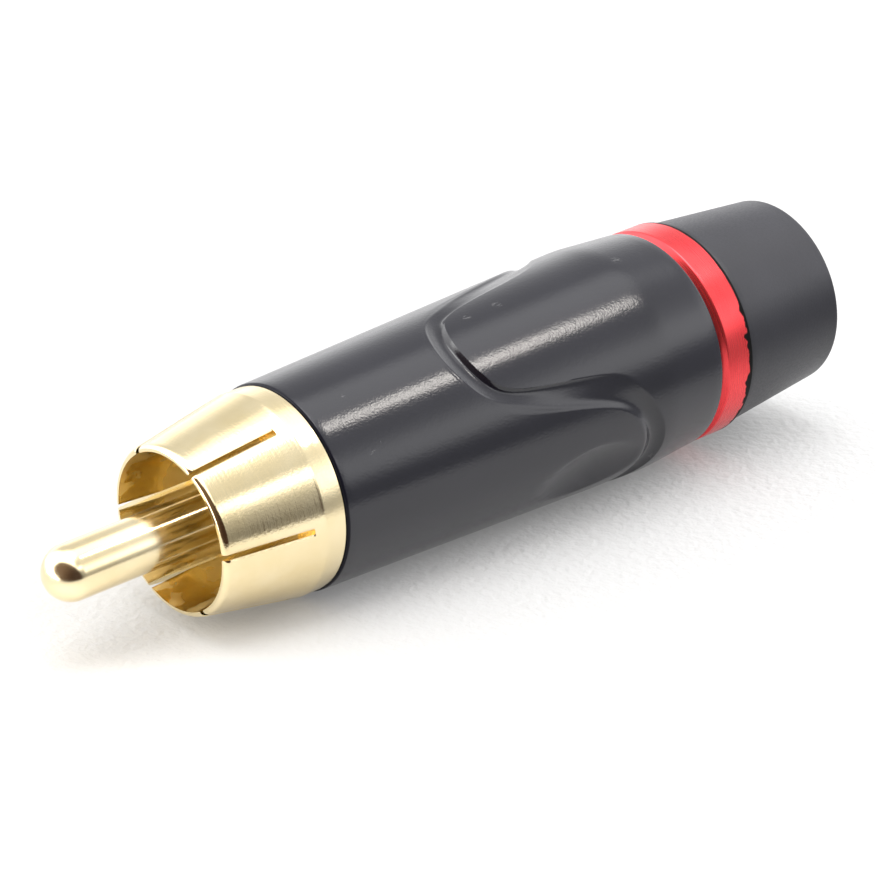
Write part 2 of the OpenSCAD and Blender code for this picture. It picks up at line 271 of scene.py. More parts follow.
class Nodes:
    """A small writer for shader nodes, whose values are constants or outputs of other nodes."""

    # the colour sockets of a Mix node
    MIX_A = 6
    MIX_B = 7
    MIX_OUT = 2

    def __init__(self, tree, coordinates):
        self.tree = tree
        self.place = self.node("ShaderNodeTexCoord").outputs[coordinates]

    def node(self, kind, **props):
        new = self.tree.nodes.new(kind)
        for key, value in props.items():
            setattr(new, key, value)
        return new

    def feed(self, socket, value):
        if isinstance(value, bpy.types.NodeSocket):
            self.tree.links.new(value, socket)
        else:
            socket.default_value = value

    def math(self, operation, *values):
        n = self.node("ShaderNodeMath", operation=operation)
        for socket, value in zip(n.inputs, values):
            self.feed(socket, value)
        return n.outputs[0]

    def dot(self, vector, direction):
        n = self.node("ShaderNodeVectorMath", operation="DOT_PRODUCT")
        self.feed(n.inputs[0], vector)
        self.feed(n.inputs[1], tuple(direction))
        return n.outputs["Value"]

    def span(self, value, low, high, out_low, out_high, smooth=False):
        """A range of values mapped to another range and held at its ends."""
        n = self.node("ShaderNodeMapRange", interpolation_type="SMOOTHSTEP" if smooth else "LINEAR")
        self.feed(n.inputs["Value"], value)
        self.feed(n.inputs["From Min"], low)
        self.feed(n.inputs["From Max"], high)
        self.feed(n.inputs["To Min"], out_low)
        self.feed(n.inputs["To Max"], out_high)
        return n.outputs["Result"]

    def ramp(self, value, stops):
        """Colours by value, from stops of a value and a colour."""
        n = self.node("ShaderNodeValToRGB")
        marks = n.color_ramp.elements
        while len(marks) > 1:
            marks.remove(marks[-1])
        for k, (position, colour) in enumerate(stops):
            mark = marks.new(position) if k else marks[0]
            mark.position = position
            mark.color = (*colour, 1)
        self.feed(n.inputs["Fac"], value)
        return n.outputs["Color"]

    def mix(self, share, a, b):
        n = self.node("ShaderNodeMix", data_type="RGBA")
        self.feed(n.inputs["Factor"], share)
        self.feed(n.inputs[self.MIX_A], a)
        self.feed(n.inputs[self.MIX_B], b)
        return n.outputs[self.MIX_OUT]

    def xyz(self):
        n = self.node("ShaderNodeSeparateXYZ")
        self.feed(n.inputs[0], self.place)
        return n.outputs

    def noise(self, scale, detail=3.0, rough=0.55):
        """Noise with so many grains to the metre, or so many along each axis."""
        place = self.place
        if isinstance(scale, tuple):
            stretch = self.node("ShaderNodeMapping")
            self.feed(stretch.inputs["Scale"], scale)
            self.feed(stretch.inputs["Vector"], place)
            place = stretch.outputs["Vector"]
            scale = 1
        n = self.node("ShaderNodeTexNoise")
        self.feed(n.inputs["Vector"], place)
        self.feed(n.inputs["Scale"], scale)
        self.feed(n.inputs["Detail"], detail)
        self.feed(n.inputs["Roughness"], rough)
        return n.outputs["Fac"]

    def bump(self, height, distance, strength, under=None):
        n = self.node("ShaderNodeBump")
        self.feed(n.inputs["Strength"], strength)
        self.feed(n.inputs["Distance"], distance)
        self.feed(n.inputs["Height"], height)
        if under is not None:
            self.feed(n.inputs["Normal"], under)
        return n.outputs["Normal"]

    def spots(self, places):
        """Soft marks at points of the row frame: (x, y, z, radius), in millimetres."""
        total = None
        for x, y, z, r in places:
            away = self.node("ShaderNodeVectorMath", operation="DISTANCE")
            self.feed(away.inputs[0], self.place)
            self.feed(away.inputs[1], (x * MM, y * MM, z * MM))
            one = self.span(away.outputs["Value"], 0.6 * r * MM, r * MM, 1, 0)
            total = one if total is None else self.math("MAXIMUM", total, one)
        return total


class Finish(Nodes):
    """A material of one shader, painted by the place in the row frame."""

    def __init__(self, name):
        self.material = bpy.data.materials.new(name)
        self.material.use_nodes = True
        super().__init__(self.material.node_tree, "Object")
        self.shader = self.tree.nodes["Principled BSDF"]

    def set(self, name, value):
        self.feed(self.shader.inputs[name], value)


# Finishes: sizes in metres, colours in linear values

def gold(name, light, dark, rough, depth, bore=None):
    """Gold plate over turned metal: fine rings, faint tarnish and soft scuffs, duller on the flange.

    A value for bore tints the inside of the cup a deeper amber, as painted light reflected between its gold
    walls, with patches that are duller by up to that value.
    """
    m = Finish(name)
    plate = m.ramp(m.noise(260, 4), [(0.3, dark), (0.62, light)])
    rings = m.noise((260, 260, 7500), 3, 0.65)
    scuffs = m.noise(900, 5, 0.7)
    pits = m.noise(6500, 2, 0.5)
    x, y, z = m.xyz()
    on_flange = m.span(z, (Z_BAND - 0.1) * MM, (Z_BAND + 0.1) * MM, 0.11, 0)
    dull = m.math("ADD", m.span(rings, 0.3, 0.7, -0.02, 0.03), on_flange)
    if bore:
        reach = m.math("SQRT", m.math("ADD", m.math("MULTIPLY", x, x), m.math("MULTIPLY", y, y)))
        r_mouth = BORE_R + LEAD_IN
        inner = m.math("MULTIPLY", m.span(reach, (r_mouth - 0.02) * MM, (r_mouth + 0.06) * MM, 1, 0),
                       m.span(z, (Z_BED + 0.25) * MM, (Z_BED + 0.45) * MM, 0, 1))
        patches = m.span(m.noise((700, 700, 500), 2, 0.5), 0.44, 0.56, 0.08, bore)
        dull = m.math("ADD", dull, m.math("MULTIPLY", inner, patches))
        # painted light: the deeper amber inside the cup stands for light reflected between its gold walls
        amber = (1.0, 0.8, 0.34, 1)
        plate = m.mix(m.math("MULTIPLY", inner, 0.65), plate, amber)
    m.set("Base Color", plate)
    m.set("Metallic", 1.0)
    m.set("Roughness", m.math("ADD", m.span(scuffs, 0.35, 0.75, rough - 0.03, rough + 0.06), dull))
    m.set("Normal", m.bump(pits, depth * 0.5, 0.8, under=m.bump(rings, depth, 0.6)))
    return m.material


def on_sleeve(theta, back, r):
    """A point of the sleeve, from the angle off the photographed side and the distance behind its front."""
    a = math.radians(theta - 90)
    return (r * math.cos(a), r * math.sin(a), Z_FRONT - back)


def gloss_black():
    """Gloss black paint with a fine orange peel, a few faint scratches and dust."""
    m = Finish("gloss_black_paint")
    # scratches: angle, distance behind the front, radius of the sleeve there, size
    scratches = ((-0.5, 2.45, 6.08, 0.2), (0.2, 2.75, 6.1, 0.14), (33, 2.8, 6.1, 0.18),
                 (49.5, 13.0, 6.42, 0.3), (49.5, 15.2, 6.5, 0.35), (-68, 22.6, 6.6, 0.3),
                 (46, 23.8, 6.7, 0.4))
    marks = m.spots([(*on_sleeve(theta, back, r), size) for theta, back, r, size in scratches])
    ragged = m.math("MULTIPLY", marks, m.span(m.noise((9000, 9000, 2600), 3, 0.7), 0.5, 0.66, 0, 0.27))
    dust = m.span(m.noise(5200, 2, 0.5), 0.77, 0.83, 0, 0.16)
    paint = m.ramp(m.noise(180, 3), [(0.3, (0.0065, 0.0065, 0.0115)), (0.7, (0.009, 0.009, 0.015))])
    bare = (0.3, 0.3, 0.3, 1)
    m.set("Base Color", m.mix(m.math("MAXIMUM", ragged, dust), paint, bare))
    m.set("Roughness", m.span(m.noise(14000, 2, 0.6), 0.3, 0.7, 0.11, 0.22))
    m.set("IOR", 1.6)
    # the bevel at the front hardly shines: painted shade at its joint with the gold flange
    m.set("Specular IOR Level", m.span(m.xyz()[2], (Z_FRONT - 0.2) * MM, (Z_FRONT - 0.1) * MM, 0.5, 0.08))
    peel = m.bump(m.noise(2600, 2, 0.5), 0.00002, 0.22)
    m.set("Normal", m.bump(m.noise(8000, 1, 0.5), 0.00001, 0.6, under=peel))
    return m.material


def satin_black():
    """Satin black finish with a fine grain and slightly rubbed edges."""
    m = Finish("satin_black_paint")
    z = m.xyz()[2]
    edges = m.math("MAXIMUM", m.span(z, 0.2 * MM, 0.6 * MM, 1, 0),
                   m.span(z, (CAP_LEN - 0.25) * MM, (CAP_LEN - 0.05) * MM, 0, 1))
    rubbed = m.math("MULTIPLY", edges, m.span(m.noise(2600, 4, 0.7), 0.55, 0.75, 0, 0.35))
    paint = m.ramp(m.noise(300, 3), [(0.3, (0.0085, 0.0085, 0.014)), (0.7, (0.0125, 0.0125, 0.019))])
    worn = (0.06, 0.06, 0.06, 1)
    grain = m.noise(7000, 3, 0.6)
    m.set("Base Color", m.mix(rubbed, paint, worn))
    m.set("Roughness", m.span(grain, 0.3, 0.7, 0.36, 0.48))
    m.set("IOR", 1.6)
    m.set("Normal", m.bump(grain, 0.000012, 0.5))
    return m.material


def red_anodised():
    """Red anodised metal with lathe rings. A black band along its rear edge is painted shade of the joint
    with the cap, and black paint has run over it there, ragged on one side.
    """
    m = Finish("red_anodised_ring")
    x, y, z = m.xyz()
    turn = m.math("ARCTAN2", y, x)
    ragged_side = m.math("MULTIPLY", m.span(turn, math.radians(-112), math.radians(-84), 1, 0.06),
                         m.span(turn, math.radians(-178), math.radians(-160), 0, 1))
    rag = m.span(m.noise(950, 2, 0.5), 0.42, 0.7, 0.0, 0.42 * MM)
    # the black band reaches 0.2 mm all round as painted shade of the joint, and farther on one side where the
    # paint runs ragged
    reach = m.math("ADD", m.math("MULTIPLY", rag, ragged_side), 0.2 * MM)
    past_paint_and_shade = m.math("SUBTRACT", m.math("SUBTRACT", z, Z_RING * MM), reach)
    # this mask covers the ragged paint and the painted shade of the joint alike
    paint = m.span(past_paint_and_shade, -0.02 * MM, 0.04 * MM, 1, 0)
    red = m.ramp(m.noise(420, 3), [(0.3, (0.8, 0.052, 0.062)), (0.7, (0.88, 0.075, 0.082))])
    # one dull black for the paint and for the painted shade at the joint
    black = (0.002, 0.002, 0.0022, 1)
    rings = m.noise((300, 300, 15000), 2, 0.6)
    m.set("Base Color", m.mix(paint, red, black))
    m.set("Metallic", m.span(paint, 0, 1, 0.85, 0))
    m.set("Roughness", m.math("ADD", m.span(rings, 0.3, 0.7, 0.25, 0.32), m.math("MULTIPLY", paint, 0.25)))
    m.set("Specular IOR Level", m.span(paint, 0, 1, 0.5, 0.12))
    m.set("Normal", m.bump(m.math("ADD", m.math("MULTIPLY", rings, 0.03), paint), 0.00001, 0.5))
    return m.material


def plastic(name, dark, light, rough):
    """Moulded plastic with a fine matte grain."""
    m = Finish(name)
    grain = m.noise(6500, 3, 0.6)
    m.set("Base Color", m.ramp(m.noise(500, 3), [(0.3, dark), (0.7, light)]))
    m.set("Roughness", m.span(grain, 0.3, 0.7, rough - 0.05, rough + 0.08))
    m.set("Normal", m.bump(grain, 0.00001, 0.4))
    return m.material


def tinned():
    """Tinned sheet with drawn lines along it and dull patches."""
    m = Finish("tinned_sheet")
    drawn = m.noise((9000, 9000, 400), 3, 0.6)
    m.set("Base Color", m.ramp(m.noise(500, 4), [(0.3, (0.62, 0.55, 0.4)), (0.7, (0.8, 0.75, 0.62))]))
    m.set("Metallic", 1.0)
    m.set("Roughness", m.span(drawn, 0.3, 0.7, 0.24, 0.42))
    m.set("Normal", m.bump(drawn, 0.000008, 0.4))
    return m.material


GOLD_SHELL = gold("gold_plate_shell", light=(0.95, 0.81, 0.52), dark=(0.89, 0.73, 0.42),
                  rough=0.085, depth=0.000012, bore=0.34)
GOLD_PIN = gold("gold_plate_pin", light=(0.96, 0.83, 0.55), dark=(0.91, 0.76, 0.46),
                rough=0.16, depth=0.000002)


# The gold cup with its petals

def shell_outline():
    """Outline of the cup, from its lip down the outside and up the bore, and the rows where the slots end."""
    taper = (TAPER_R - RIM_R) / (Z_RIM - Z_BAND)

    def wall(z):
        return (RIM_R + taper * (Z_RIM - z), z)

    r_lip = BORE_R + LEAD_IN + LIP_W
    r_nose = wall(Z_RIM - RIM_NOSE)[0]
    nose = [math.radians(a) for a in (90, 82, 73, 63, 52, 40, 27, 14, 0)]
    p = [(r_lip + (r_nose - r_lip) * math.cos(a), Z_RIM - RIM_NOSE * (1 - math.sin(a))) for a in nose]
    # heights shared by the outer and inner walls of the petals
    heights = np.linspace(Z_RIM - LEAD_LEN - 0.05, Z_SLOT, PETAL_ROWS)
    p += [wall(z) for z in heights]
    outer_end = len(p) - 1
    p += [wall(z) for z in np.linspace(Z_SLOT, Z_BAND + 0.08, 5)[1:]]
    p += [(FLANGE_R - 0.004, Z_BAND - 0.02), (FLANGE_R, Z_BAND - 0.08)]
    p += line(p[-1], (FLANGE_R, Z_FLANGE + FLANGE_BEVEL), 6)
    p += arc(FLANGE_R - FLANGE_BEVEL, Z_FLANGE + FLANGE_BEVEL, FLANGE_BEVEL, -15, -90, 5)
    # boss, with a chamfer as deep as its thread, and the staked end
    p += line(p[-1], (BOSS_R, Z_FLANGE), 3)
    p += line(p[-1], (BOSS_R, Z_BOSS + THREAD_DEPTH), BOSS_ROWS)
    p += line(p[-1], (BOSS_R - THREAD_DEPTH, Z_BOSS), 3)
    p += line(p[-1], (STAKE_R, Z_BOSS), 2)
    p += line(p[-1], (STAKE_R, Z_STAKE + 0.1), 2)
    p += [(STAKE_R - 0.06, Z_STAKE), (INS_R + FIXED_GAP, Z_STAKE)]
    p += [(INS_R + FIXED_GAP, Z_BED), (BORE_R, Z_BED)]
    p += line(p[-1], (BORE_R, Z_SLOT), 12)
    bore_start = len(p) - 1
    p += [(BORE_R, z) for z in heights[::-1][1:]]
    p += line((BORE_R, Z_RIM - LEAD_LEN), (BORE_R + LEAD_IN, Z_RIM), 6)
    return np.array(p), outer_end, bore_start


def ground_shell():
    p, outer_end, bore_start = shell_outline()
    rows = len(p)
    outside = np.arange(rows) <= outer_end
    slotted = outside | (np.arange(rows) >= bore_start)
    # columns: the slot's edges and middle, the bevel's far edge on each side, and the petal between
    columns = []
    for s in range(SLOT_COUNT):
        columns += [("slot", s, (k / 2 - 0.5) * SLOT_W) for k in range(3)]
        columns.append(("bevel", s, SLOT_W / 2 + SLOT_BEVEL_W))
        columns += [("petal", s, k / PETAL_COLS) for k in range(1, PETAL_COLS)]
        columns.append(("bevel", s + 1, -SLOT_W / 2 - SLOT_BEVEL_W))
    cols = len(columns)
    step = 2 * math.pi / SLOT_COUNT
    radius = p[:, :1].repeat(cols, 1)
    height = p[:, 1:].repeat(cols, 1)
    angle = np.zeros((rows, cols))
    # the outer bevel is shallower at the thin lip
    lip_share = np.clip((Z_RIM - p[:, 1]) / 0.2, 0.55, 1)
    bevel = np.where(outside, -SLOT_BEVEL_OUT * lip_share, SLOT_BEVEL_IN) * slotted
    petal_start = np.arcsin((SLOT_W / 2 + SLOT_BEVEL_W) / p[:, 0])
    for c, (kind, s, place) in enumerate(columns):
        if kind == "petal":
            angle[:, c] = s * step + petal_start + (step - 2 * petal_start) * place
            continue
        if kind == "slot" and place != 0:
            radius[:, c] += bevel
        angle[:, c] = s * step + np.arcsin(place / radius[:, c])
    radius = thread(radius, angle, height, BOSS_R, Z_BOSS + THREAD_DEPTH, Z_FLANGE, -1)
    # faces, without those that the slots take away
    per = cols // SLOT_COUNT
    cut = slotted & np.roll(slotted, -1)
    faces = grid_faces(rows, cols, closed=True).tolist()
    faces = [f for f in faces if not (cut[f[0] // cols] and f[0] % per < 2)]
    # walls and floors of the slots
    loop = [*range(bore_start, rows), *range(outer_end + 1)]
    top = outer_end * cols
    low = bore_start * cols
    for left in range(0, cols, per):
        faces.append([j * cols + left for j in loop])
        faces.append([j * cols + left + 2 for j in reversed(loop)])
        faces += [(top + c, top + c + 1, low + c + 1, low + c) for c in (left, left + 1)]
    verts = grid_points(radius, angle, height)
    build("gold_cup", verts, faces, "contact", GOLD_SHELL, "ground_shell", sharp=28)


# The signal pin

def centre_pin():
    """The pin with its shank and collar, and a short stub that closes the end of the solder cup."""
    edge = 0.12
    stub = 0.35
    p = arc(0, Z_TIP - PIN_R, PIN_R, 88, 0, 24)
    p += line(p[-1], (PIN_R, Z_FACE + edge), 24)
    p += [(PIN_R - edge / 2, Z_FACE + FIXED_GAP), (SHANK_R, Z_FACE + FIXED_GAP)]
    p += line(p[-1], (SHANK_R, Z_TAIL - FIXED_GAP), 4)
    p += [(COLLAR_R - 0.1, Z_TAIL - FIXED_GAP), (COLLAR_R, Z_TAIL - edge), (COLLAR_R, Z_COLLAR + edge)]
    p += [(COLLAR_R - edge, Z_COLLAR), (CUP_R, Z_COLLAR - 0.01), (CUP_R, Z_COLLAR - stub)]
    p += [(CUP_BORE_R * 0.9, Z_COLLAR - stub - 0.01)]
    verts = grid_points(*turned(p, PIN_COLS))
    faces = grid_faces(len(p), PIN_COLS).tolist()
    # a fan of faces closes each end at a point on the axis
    last = (len(p) - 1) * PIN_COLS
    tip = len(verts)
    for i in range(PIN_COLS):
        n = (i + 1) % PIN_COLS
        faces += [(tip, i, n), (last + i, tip + 1, last + n)]
    verts = np.concatenate([verts, [(0, 0, Z_TIP), (0, 0, Z_COLLAR - 0.5)]])
    build("signal_pin", verts, faces, "contact", GOLD_PIN, "centre_pin", sharp=40)


def solder_cup():
    """A tube closed all round near the collar, then cut away on one side."""
    z_end = Z_COLLAR - CUP_LEN
    z_cut = z_end + CUP_LEN * 0.6
    heights = np.concatenate([np.linspace(Z_COLLAR - 0.3, z_cut, 6), np.linspace(z_cut - 0.001, z_end, 8)])
    verts = []
    faces = []
    for z in heights:
        for r, sense in ((CUP_R, 1), (CUP_BORE_R, -1)):
            past_half = math.pi / 2 - 1e-4 if z > z_cut - 0.0005 else math.asin(CUP_R / 4 / r)
            angles = np.linspace(math.pi - past_half, 2 * math.pi + past_half, CUP_COLS)[::sense]
            verts += [(r * math.cos(a), r * math.sin(a), z) for a in angles]
    ring = 2 * CUP_COLS
    for j in range(len(heights) - 1):
        for i in range(ring):
            a = j * ring + i
            b = j * ring + (i + 1) % ring
            faces.append((a, a + ring, b + ring, b))
    for j, sense in ((0, 1), (len(heights) - 1, -1)):
        for i in range(CUP_COLS - 1):
            end = [j * ring + k for k in (i, i + 1, ring - 2 - i, ring - 1 - i)]
            faces.append(end[::sense])
    build("pin_solder_cup", verts, faces, "contact", GOLD_PIN)


# The grip sleeve

def wave(deg, turn, bias):
    """0 at the middle of a pad, 1 at the middle of a tongue."""
    swing = np.cos(np.radians(PAD_COUNT * (deg - PAD_ANGLE)))
    low = np.tanh(turn * (bias - 1))
    high = np.tanh(turn * (bias + 1))
    bent = (np.tanh(turn * (bias - swing)) - low) / (high - low)
    return WAVE_SHARE * (1 - swing) / 2 + (1 - WAVE_SHARE) * bent


def plain_radius(t):
    """Radius without the grip: two cones that meet in a rounded crest."""
    up = (PAD_R - FRONT_R) / PAD_END
    down = (PAD_R - REAR_R) / (SLEEVE_LEN - PAD_END)
    near = np.clip(CREST_LEN / 2 - np.abs(t - PAD_END), 0, None)
    cones = PAD_R - np.where(t < PAD_END, up * (PAD_END - t), down * (t - PAD_END))
    return cones - (up + down) / 2 / CREST_LEN * near ** 2


def groove_cut(tongue, pad, x):
    """Depth of the groove: a soft shoulder on the tongue's side, a crisp edge on the pad's side."""
    deep = FLANK_DEPTH + (GROOVE_DEPTH - FLANK_DEPTH) * (tongue + pad - 1) ** 4
    low = 0.5 + 0.3 * np.clip(1 - tongue - pad, 0, None) ** 2
    shape = np.where(x < low, np.sin(np.pi / 2 * x / low) ** 2, 1 - ((x - low) / (1 - low)) ** 2)
    # a fine second crease beside the shoulder, which fades out along the flanks
    crease = CREASE * np.clip((0.7 - tongue) / 0.4, 0, 1) * np.exp(-((x - 0.2) / 0.06) ** 2)
    return deep * shape - crease


def scoop_cut(deg, t, tongue_edge):
    """Depth of the scoops in the tongues, which end at the groove."""
    off = deg - TONGUE_ANGLE
    turn = off - 360 / PAD_COUNT * np.round(off * PAD_COUNT / 360)
    across = np.radians(turn)[None, :] * MEAN_R * 2 / SCOOP_W
    along = np.abs(t - SCOOP_MID) * 2 / SCOOP_LEN
    bowl = np.clip(1 - across ** 2 - along ** 1.7, 0, None)
    return SCOOP_DEPTH * bowl * np.clip((tongue_edge[None, :] - t) / SCOOP_RIM, 0, 1)


def steps(count, ease=1.0):
    """Shares of a run in so many steps, without its start; a higher ease draws the last ones together."""
    return [1 - (1 - k / count) ** ease for k in range(1, count + 1)]


def sleeve_skin():
    """Radius, angle and height of the outer skin, in rows from front to rear that follow the groove."""
    deg = np.arange(SLEEVE_COLS) * 360 / SLEEVE_COLS
    tongue = wave(deg, TONGUE_TURN, TONGUE_BIAS)
    pad = wave(deg, PAD_TURN, PAD_BIAS)
    tongue_edge = GROOVE_FRONT + (GROOVE_REAR - GROOVE_FRONT) * tongue
    pad_edge = GROOVE_FRONT + GROOVE_W + (GROOVE_REAR - GROOVE_FRONT) * pad
    neck = PAD_END + CREST_LEN / 2
    neck_end = SLEEVE_LEN - SLEEVE_BEVEL
    flat = np.ones(SLEEVE_COLS)
    uncut = np.zeros(SLEEVE_COLS)
    bevel = [math.radians(90 * k / BEVEL_ROWS) for k in range(BEVEL_ROWS + 1)]
    # each row: distance behind the front, depth cut
    rows = [(flat * SLEEVE_BEVEL * (1 - math.cos(a)), flat * SLEEVE_BEVEL * (1 - math.sin(a))) for a in bevel]
    rows += [(SLEEVE_BEVEL + (tongue_edge - SLEEVE_BEVEL) * x, uncut) for x in steps(FRONT_ROWS, 1.5)]
    rows += [(tongue_edge + (pad_edge - tongue_edge) * x, groove_cut(tongue, pad, x))
             for x in steps(GROOVE_ROWS)]
    rows += [(pad_edge + (PAD_END - pad_edge) * x, uncut) for x in steps(PAD_ROWS, 1.4)]
    rows += [(flat * (PAD_END + CREST_LEN / 2 * x), uncut) for x in steps(CREST_ROWS)]
    rows += [(flat * (neck + (neck_end - neck) * x), uncut) for x in steps(NECK_ROWS)]
    rows += [(flat * (SLEEVE_LEN - SLEEVE_BEVEL * (1 - math.sin(a))), flat * SLEEVE_BEVEL * (1 - math.cos(a)))
             for a in bevel[1:]]
    t = np.array([place for place, cut in rows])
    cut = np.array([cut for place, cut in rows])
    radius = plain_radius(t) - cut - scoop_cut(deg, t, tongue_edge) - FACET_GAP
    return radius, np.radians(deg)[None, :].repeat(len(t), 0), Z_FRONT - t


def sleeve_core():
    """Radius, angle and height of the spigot, the bores and the web, from the rear face to the front face."""
    lip = 0.12
    p = [(SPIGOT_R, Z_SLEEVE)]
    p += line(p[-1], (SPIGOT_R, Z_SPIGOT + 0.2), SPIGOT_ROWS)
    p += [(SPIGOT_R - 0.2, Z_SPIGOT), (CLAMP_BORE_R + 0.1, Z_SPIGOT), (CLAMP_BORE_R, Z_SPIGOT + 0.1)]
    p += [(CLAMP_BORE_R, Z_STOP), (WEB_BORE_R, Z_STOP), (WEB_BORE_R, Z_HOLLOW), (HOLLOW_R, Z_HOLLOW)]
    p += line(p[-1], (HOLLOW_R, Z_SCREW), 4)
    p += [(SCREW_R, Z_SCREW)]
    p += line(p[-1], (SCREW_R, Z_FRONT - lip), SCREW_ROWS)
    p += [(SCREW_R + lip, Z_FRONT)]
    radius, angle, height = turned(p, CORE_COLS)
    radius = thread(radius, angle, height, SPIGOT_R, Z_SPIGOT + 0.2, Z_RING + 0.2, -1)
    radius = thread(radius, angle, height, SCREW_R, Z_SCREW + 0.3, Z_FRONT - lip, 1)
    return radius, angle, height


def grip_sleeve():
    skin = sleeve_skin()
    core = sleeve_core()
    skin_rows = len(skin[0])
    core_rows = len(core[0])
    inside = skin_rows * SLEEVE_COLS
    faces = grid_faces(skin_rows, SLEEVE_COLS).tolist() + grid_faces(core_rows, CORE_COLS, inside).tolist()
    # the two end faces join the fine outer rows to the coarser inner ones
    rear = inside - SLEEVE_COLS
    front = inside + (core_rows - 1) * CORE_COLS
    share = SLEEVE_COLS // CORE_COLS
    for a in range(CORE_COLS):
        b = (a + 1) % CORE_COLS
        edge = [(a * share + k) % SLEEVE_COLS for k in range(share + 1)]
        faces.append([rear + edge[0], inside + a, inside + b] + [rear + k for k in edge[:0:-1]])
        faces.append([front + a] + edge + [front + b])
    verts = np.concatenate([grid_points(*skin), grid_points(*core)])
    return build("black_grip", verts, faces, "sleeve", gloss_black(), "grip_sleeve", sharp=40)


# The ring and the cap

def colour_ring():
    soft = 0.2
    fine = 0.05
    # how far the centre of a 45-degree bend lies past the corner, as a share of its radius
    bend = 0.414
    ease = 0.08
    p = arc(RING_R - RING_BEVEL - bend * fine, Z_RING_TOP - fine, fine, 90, 45, 4)
    p += arc(RING_R - soft, Z_RING_TOP - RING_BEVEL - bend * soft, soft, 45, 0, 10)
    p += line(p[-1], (RING_R, Z_RING + RING_EDGE), 12)
    p += arc(RING_R - RING_EDGE, Z_RING + RING_EDGE, RING_EDGE, -15, -90, 5)
    p += [(CAP_BORE_R + ease, Z_RING), (CAP_BORE_R, Z_RING + ease)]
    p += [(CAP_BORE_R, Z_RING_TOP - ease), (CAP_BORE_R + ease, Z_RING_TOP)]
    verts = grid_points(*turned(p, RING_COLS))
    faces = grid_faces(len(p), RING_COLS, closed=True)
    build("red_ring", verts, faces, "ring", red_anodised(), "colour_ring", sharp=30)


def rear_cap():
    lip = 0.15
    p = arc(CAP_FRONT_R - CAP_EDGE, CAP_LEN - CAP_EDGE, CAP_EDGE, 90, 5, 6)
    p += line(p[-1], (CAP_REAR_R, CAP_ROUND), 20)
    p += arc(CAP_REAR_R - CAP_ROUND, CAP_ROUND, CAP_ROUND, -10, -90, 8)
    p += line(p[-1], (CORD_R + lip, 0), 3)
    p += arc(CORD_R + lip, lip, lip, 250, 180, 5)
    p += line(p[-1], (CORD_R, CAP_FLOOR), 3)
    # the cone that closes the clamp, then the threaded bore
    p += [(CLAMP_NOSE_R + CLAMP_GAP, CAP_FLOOR), (CLAMP_BORE_R, Z_CAP_BORE), (CAP_BORE_R, Z_CAP_BORE)]
    p += line(p[-1], (CAP_BORE_R, CAP_LEN - lip), CAP_ROWS)
    p += [(CAP_BORE_R + lip, CAP_LEN)]
    radius, angle, height = turned(p, CAP_COLS)
    radius = thread(radius, angle, height, CAP_BORE_R, Z_CAP_BORE + 0.2, CAP_LEN - lip, 1)
    verts = grid_points(radius, angle, height)
    faces = grid_faces(len(p), CAP_COLS, closed=True)
    build("black_cap", verts, faces, "cap", satin_black(), "rear_cap", sharp=30)


ground_shell()
centre_pin()
solder_cup()
sleeve = grip_sleeve()
colour_ring()
rear_cap()

# The inner pieces stay as the solids are, with their own finishes
INNER = {
    "insulator": plastic("insulator_plastic", (0.7, 0.66, 0.55), (0.78, 0.74, 0.63), rough=0.45),
    "ground_tag": tinned(),
    "cable_clamp": plastic("clamp_plastic", (0.018, 0.018, 0.019), (0.03, 0.03, 0.031), rough=0.45),
}
for name, material in INNER.items():
    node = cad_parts[name]
    node.data.materials.clear()
    node.data.materials.append(material)

# Camera, at the place that the photograph's circles give
PICTURE_PX = 880
FOCAL_PX = 4500
SENSOR_W = 36
CAMERA_PLACE = Vector((0.0, -0.206244, 0.169914))
right = Vector((-0.37346, -0.53100, -0.76064)).normalized()
forward = Vector((-0.00341, 0.82074, -0.57128)).normalized()
up = right.cross(forward).normalized()
right = forward.cross(up).normalized()
camera = bpy.data.cameras.new("camera")
camera.sensor_width = SENSOR_W
camera.lens = FOCAL_PX / PICTURE_PX * SENSOR_W
camera.clip_start = 0.005
camera.clip_end = 20
camera_obj = bpy.data.objects.new("camera", camera)
bpy.context.scene.collection.objects.link(camera_obj)
pose = Matrix((right, up, -forward)).transposed().to_4x4()
pose.translation = CAMERA_PLACE
camera_obj.matrix_world = pose
bpy.context.scene.camera = camera_obj

# Directions of the table that the plug lies on in the photograph: its normal, and straight behind the plug
TABLE_LIFT = math.radians(25.2)
level = (up * math.cos(TABLE_LIFT) - forward * math.sin(TABLE_LIFT)).normalized()
ahead = level.cross(right).normalized()
table_height = min(v.co.dot(level) for v in sleeve.data.vertices)
MIDDLE = Vector((0, 0, 0.0265))


def on_table(point):
    """The point of the table straight under a point."""
    return point - level * (point.dot(level) - table_height)


def bearing(deg):
    """A level direction, turned to the right from straight behind the plug."""
    return ahead * math.cos(math.radians(deg)) + right * math.sin(math.radians(deg))


# Table top: a pale sheet, open from below, which fades out to the right and in front, outside the picture
TABLE_R = 0.16
TABLE_SIDES = 96
TABLE_TONE = 0.435
TABLE_GLOW = 0.16
FADE_RIGHT = (0.02, 0.05)
FADE_FRONT = (0.036, 0.06)


